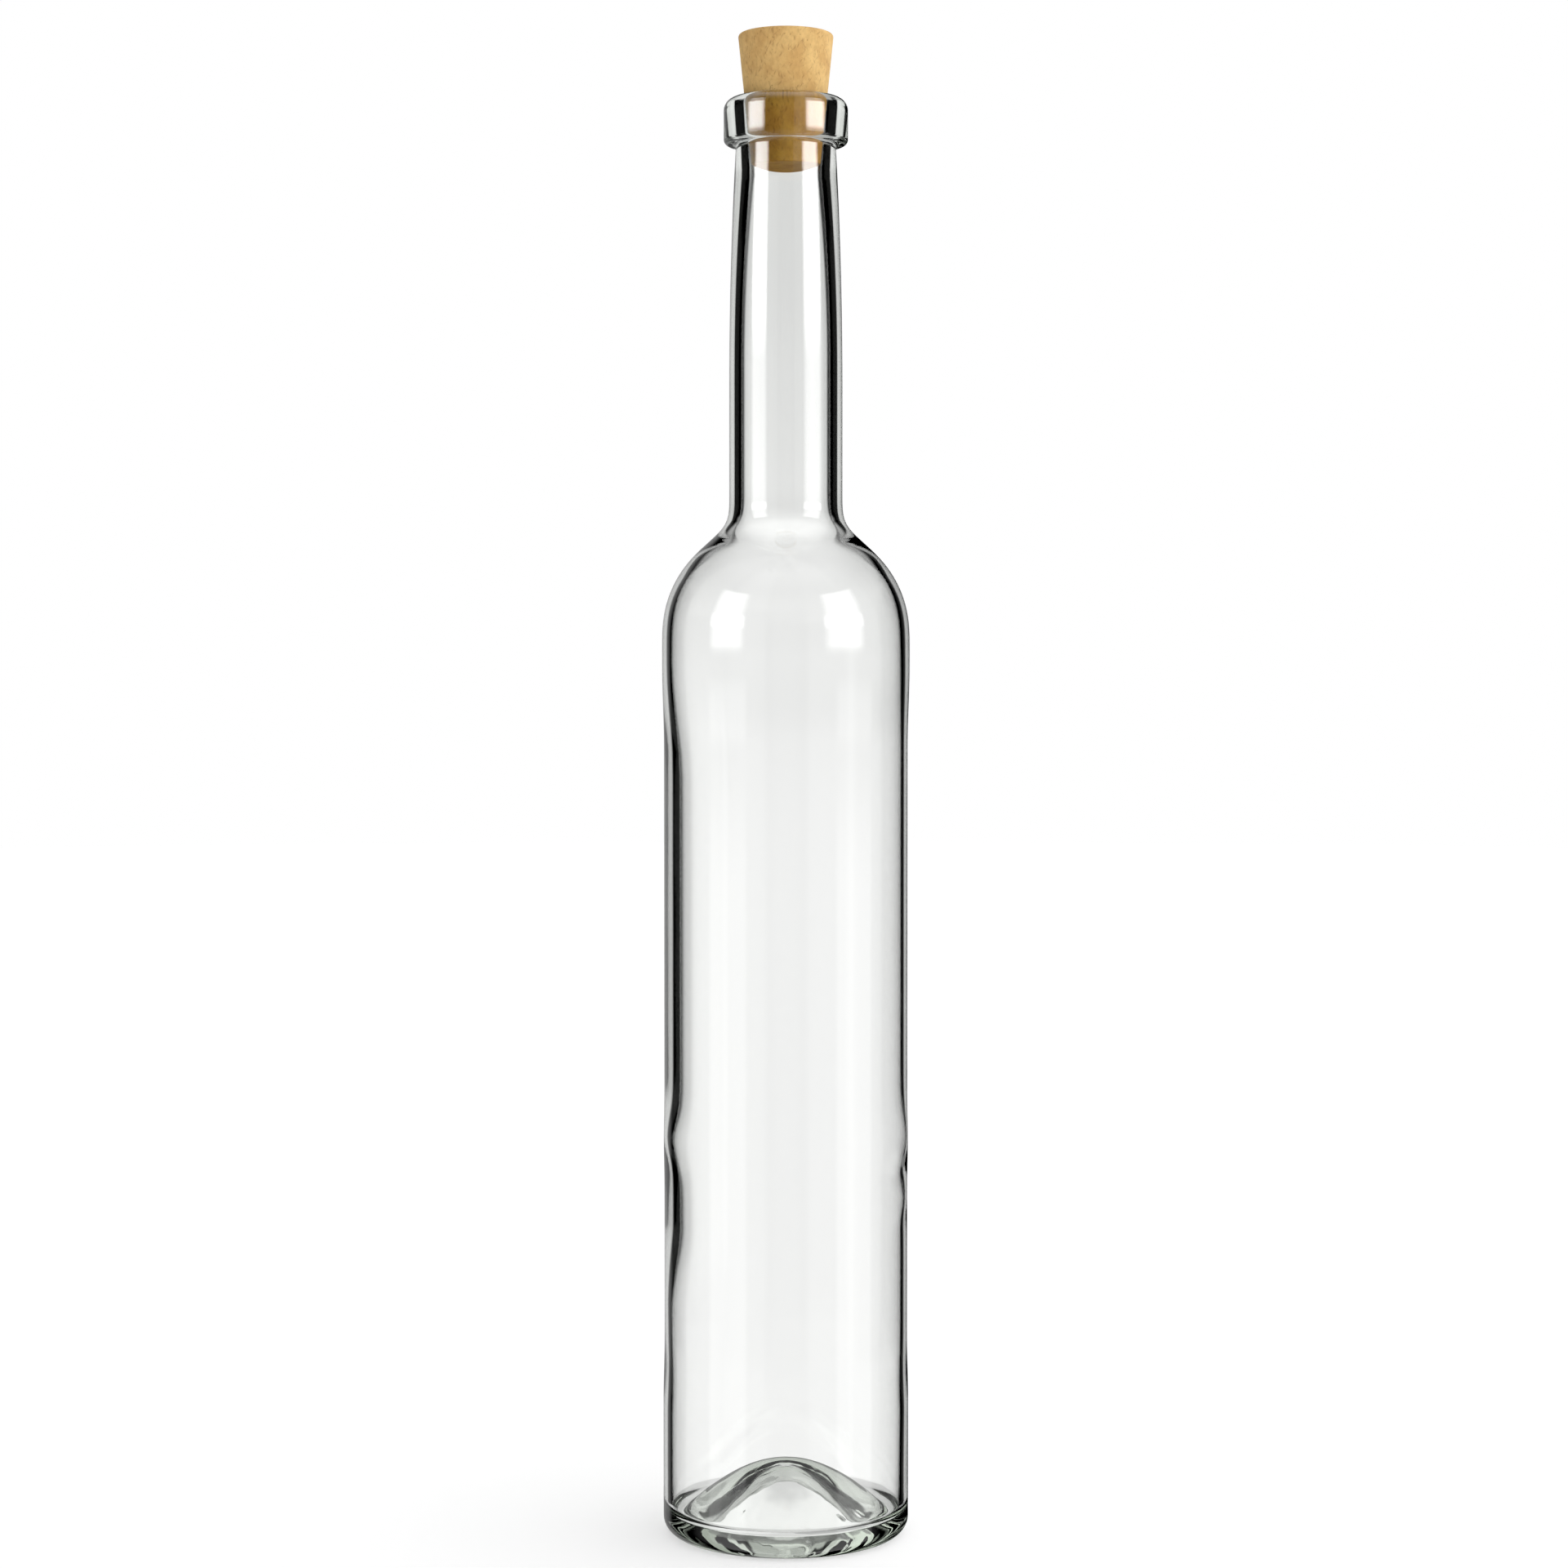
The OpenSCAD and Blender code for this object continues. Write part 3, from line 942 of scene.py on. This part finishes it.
def studio_camera(studio):
    """The camera in front of the bottle, just under its shoulder and tilted down a little."""
    data = bpy.data.cameras.new("camera")
    data.lens = studio.lens
    data.sensor_width = 36
    data.shift_y = studio.shift
    data.clip_start = 0.01
    data.clip_end = 50
    camera = bpy.data.objects.new("camera", data)
    camera.location = (studio.camera_x, studio.camera_y, studio.camera_z)
    camera.rotation_euler = (math.radians(90) - studio.tilt, 0, 0)
    bpy.context.scene.collection.objects.link(camera)
    bpy.context.scene.camera = camera


# Operators

class BOTTLE_OT_glass(bpy.types.Operator):
    """Build the glass bottle round its CAD node"""

    bl_idname = "bottle.glass"
    bl_label = "Glass bottle"

    def execute(self, context):
        scene = context.scene
        vertices, rows = glass_surface(scene.bottle_sizes, scene.bottle_blown)
        loops, starts = turned_surface(AROUND_GLASS, rows - 2)
        material = glass_material(scene.bottle_finishes)
        add_piece("bottle_glass", vertices, loops, starts, material, "glass_bottle", "bottle")
        return {"FINISHED"}


class BOTTLE_OT_stopper(bpy.types.Operator):
    """Build the cork stopper round its CAD node"""

    bl_idname = "bottle.stopper"
    bl_label = "Cork stopper"

    def execute(self, context):
        scene = context.scene
        vertices, rows, marks = cork_surface(scene.bottle_stopper)
        loops, starts = turned_surface(AROUND_CORK, rows - 2)
        material = cork_material(scene.bottle_finishes)
        add_piece(
            "stopper_cork", vertices, loops, starts, material, "cork_stopper", "stopper", marks
        )
        return {"FINISHED"}


class BOTTLE_OT_studio(bpy.types.Operator):
    """Build the floor, the light and the camera"""

    bl_idname = "bottle.studio"
    bl_label = "Studio"

    def execute(self, context):
        studio = context.scene.bottle_studio
        context.scene.view_settings.view_transform = "Standard"
        studio_world()
        studio_floor(studio.floor_r)
        studio_camera(studio)
        return {"FINISHED"}


class BOTTLE_PT_panel(bpy.types.Panel):
    """Lists what can be built"""

    bl_idname = "BOTTLE_PT_panel"
    bl_label = "Stoppered bottle"
    bl_space_type = "VIEW_3D"
    bl_region_type = "UI"
    bl_category = "Bottle"

    def draw(self, context):
        for operator in OPERATORS:
            self.layout.operator(operator.bl_idname)


OPERATORS = (BOTTLE_OT_studio, BOTTLE_OT_glass, BOTTLE_OT_stopper)
GROUPS = {
    "bottle_sizes": BottleSizes,
    "bottle_blown": BlownGlass,
    "bottle_stopper": StopperSizes,
    "bottle_finishes": Finishes,
    "bottle_studio": Studio,
}


def register():
    """Makes the settings, the operators and the panel known to Blender."""
    for group in GROUPS.values():
        bpy.utils.register_class(group)
    for name, group in GROUPS.items():
        setattr(bpy.types.Scene, name, bpy.props.PointerProperty(type=group))
    for operator in OPERATORS:
        bpy.utils.register_class(operator)
    bpy.utils.register_class(BOTTLE_PT_panel)


def unregister():
    """Takes back what register did."""
    bpy.utils.unregister_class(BOTTLE_PT_panel)
    for operator in OPERATORS:
        bpy.utils.unregister_class(operator)
    for name, group in GROUPS.items():
        delattr(bpy.types.Scene, name)
        bpy.utils.unregister_class(group)


def main():
    """Builds the studio and both pieces."""
    register()
    bpy.ops.bottle.studio()
    bpy.ops.bottle.glass()
    bpy.ops.bottle.stopper()


if __name__ == "__main__":
    main()
